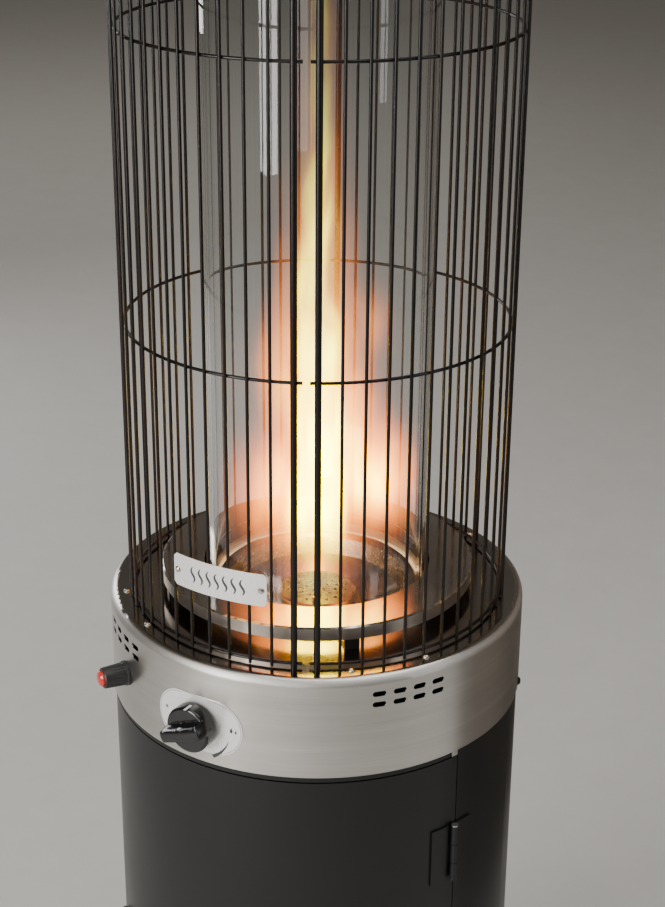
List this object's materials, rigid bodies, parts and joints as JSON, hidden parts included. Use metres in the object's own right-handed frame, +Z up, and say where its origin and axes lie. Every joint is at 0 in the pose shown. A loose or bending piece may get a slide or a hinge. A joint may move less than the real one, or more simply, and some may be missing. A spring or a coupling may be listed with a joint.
{
  "type": "outdoor heater",
  "caption": "Free-standing round gas patio heater with a glass flame tube inside a rod guard, a steel control collar and a black bottle housing with a door.",
  "frame": {"origin": "on the floor under the heater's axis", "axes": "+Z up along the glass tube; -Y towards the middle of the housing door"},
  "size_m": [0.4299, 0.4709, 1.788],
  "materials": {
    "black_powder_coat": "satin black powder coat",
    "black_wire": "heat-resistant black coat on steel wire",
    "black_screw": "black oxide screw",
    "black_rubber": "moulded rubber",
    "black_plastic": "moulded black plastic",
    "gloss_black_plastic": "glossy moulded plastic",
    "red_plastic": "glossy moulded plastic",
    "brushed_stainless": "brushed round the body",
    "polished_stainless": "polished stainless steel, warmed by heat",
    "satin_dial": "satin anodised plate",
    "zinc_steel": "zinc-plated steel",
    "cast_aluminium": "die-cast, as cast",
    "soft_aluminium": "drawn tube",
    "brass_fitting": "turned brass",
    "copper_probe": "copper capillary",
    "white_ceramic": "fired insulator",
    "ceramic_fibre": "pressed ceramic fibre",
    "lead_insulation": "silicone insulation",
    "clear_glass": "clear borosilicate glass"
  },
  "bodies": {
    "housing": {"axle": "zinc_steel", "axle_caps": "black_plastic", "base_plate": "black_powder_coat", "base_screws": "zinc_steel", "base_shell": "black_powder_coat", "burner_bowl": "polished_stainless", "burner_head": "polished_stainless", "burner_plate": "polished_stainless", "burner_plate_posts": "black_powder_coat", "cap_bolts": "polished_stainless", "cap_spacers": "polished_stainless", "collar_screws": "black_screw", "control_collar": "brushed_stainless", "deck_screws": "polished_stainless", "dial_plate": "satin_dial", "electrode_insulator": "white_ceramic", "flame_sensor": "copper_probe", "gas_injector": "brass_fitting", "gas_pipe": "soft_aluminium", "glass_gasket": "ceramic_fibre", "glass_seat": "polished_stainless", "glass_top_ring": "brushed_stainless", "glass_tube": "clear_glass", "guard_nuts": "polished_stainless", "guard_rings_left": "black_wire", "guard_rings_right": "black_wire", "guard_rods_left": "black_wire", "guard_rods_right": "black_wire", "hinge_housing_leaves": "black_powder_coat", "hinge_pins": "zinc_steel", "hose_nozzle": "brass_fitting", "igniter_nut": "black_plastic", "igniter_sleeve": "black_plastic", "ignition_lead": "lead_insulation", "knob_spring": "zinc_steel", "magnetic_catch": "black_plastic", "mixing_tube": "polished_stainless", "name_plate": "satin_dial", "name_plate_clamps": "zinc_steel", "name_plate_screws": "polished_stainless", "rubber_feet": "black_rubber", "spark_electrode": "zinc_steel", "tilt_switch": "black_plastic", "top_band": "brushed_stainless", "top_cap": "brushed_stainless", "valve_body": "cast_aluminium", "valve_bracket": "zinc_steel", "wheel_brackets": "black_powder_coat"},
    "door": {"base_door": "black_powder_coat", "door_handle": "black_plastic", "strike_plate": "zinc_steel", "hinge_door_leaves": "black_powder_coat"},
    "knob_carrier": {"push_collar": "brass_fitting"},
    "knob": {"control_knob": "gloss_black_plastic", "valve_stem": "brass_fitting"},
    "igniter_plunger": {"igniter_button": "red_plastic"},
    "wheel_left": {"wheel_hub_left": "black_plastic", "tyre_left": "black_rubber"},
    "wheel_right": {"wheel_hub_right": "black_plastic", "tyre_right": "black_rubber"}
  },
  "joints": [
    {"name": "door_hinge", "type": "hinge", "parent": "housing", "child": "door", "pos_m": [0.17641, -0.10144, 0.375], "axis": [0, 0, 1], "range_deg": [0, 105]},
    {"name": "knob_press", "type": "slide", "parent": "housing", "child": "knob_carrier", "axis": [0.2062, 0.9785, 0], "range_m": [0, 0.004], "stiffness_N_per_m": 900, "springref_m": -0.003, "deforming": ["knob_spring"]},
    {"name": "knob_turn", "type": "hinge", "parent": "knob_carrier", "child": "knob", "pos_m": [-0.04433, -0.21038, 0.739], "axis": [-0.2062, -0.9785, 0], "range_deg": [0, 270]},
    {"name": "igniter_press", "type": "slide", "parent": "housing", "child": "igniter_plunger", "axis": [0.6833, 0.7302, 0], "range_m": [0, 0.004], "stiffness_N_per_m": 700, "springref_m": -0.003},
    {"name": "wheel_left_spin", "type": "hinge", "parent": "housing", "child": "wheel_left", "pos_m": [-0.133, 0.212, 0.032], "axis": [1, 0, 0], "continuous": true},
    {"name": "wheel_right_spin", "type": "hinge", "parent": "housing", "child": "wheel_right", "pos_m": [0.133, 0.212, 0.032], "axis": [1, 0, 0], "continuous": true}
  ]
}
